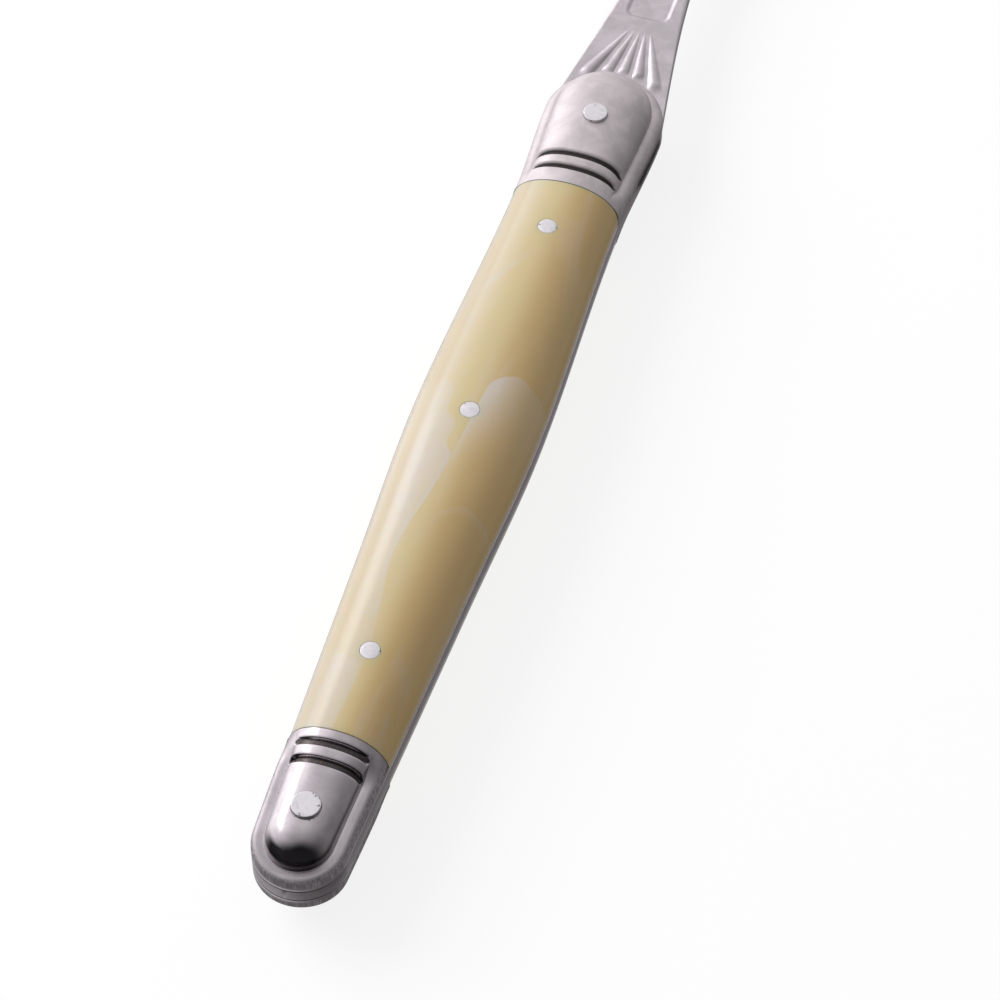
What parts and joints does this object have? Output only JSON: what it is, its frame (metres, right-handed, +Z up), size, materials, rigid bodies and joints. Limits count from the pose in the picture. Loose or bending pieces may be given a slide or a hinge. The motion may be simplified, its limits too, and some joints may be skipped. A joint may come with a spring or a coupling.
{
  "type": "bone folder",
  "caption": "Handled bone folder: a flat, round-tipped steel folding blade on a full tang, with cream scales riveted between domed steel bolsters.",
  "frame": {"origin": "bottom centre of the whole folder as it lies on the crown of its lower scale", "axes": "+X along the length towards the blade's tip, +Y across the width, +Z up through the thickness"},
  "size_m": [0.203, 0.016, 0.0126],
  "materials": {
    "blade_steel": "satin",
    "bolster_steel": "polished, with fine radial grinding marks on the flange",
    "scale_acrylic": "glossy, honey cream with milky streaks",
    "pin_steel": "matte, ground flat"
  },
  "bodies": {
    "root": {"blade_and_tang": "blade_steel", "front_bolster_upper": "bolster_steel", "front_bolster_lower": "bolster_steel", "rear_bolster_upper": "bolster_steel", "rear_bolster_lower": "bolster_steel", "scale_upper": "scale_acrylic", "scale_lower": "scale_acrylic", "front_bolster_pin": "pin_steel", "rear_bolster_pin": "pin_steel", "scale_pin_front": "pin_steel", "scale_pin_middle": "pin_steel", "scale_pin_rear": "pin_steel"}
  },
  "joints": []
}
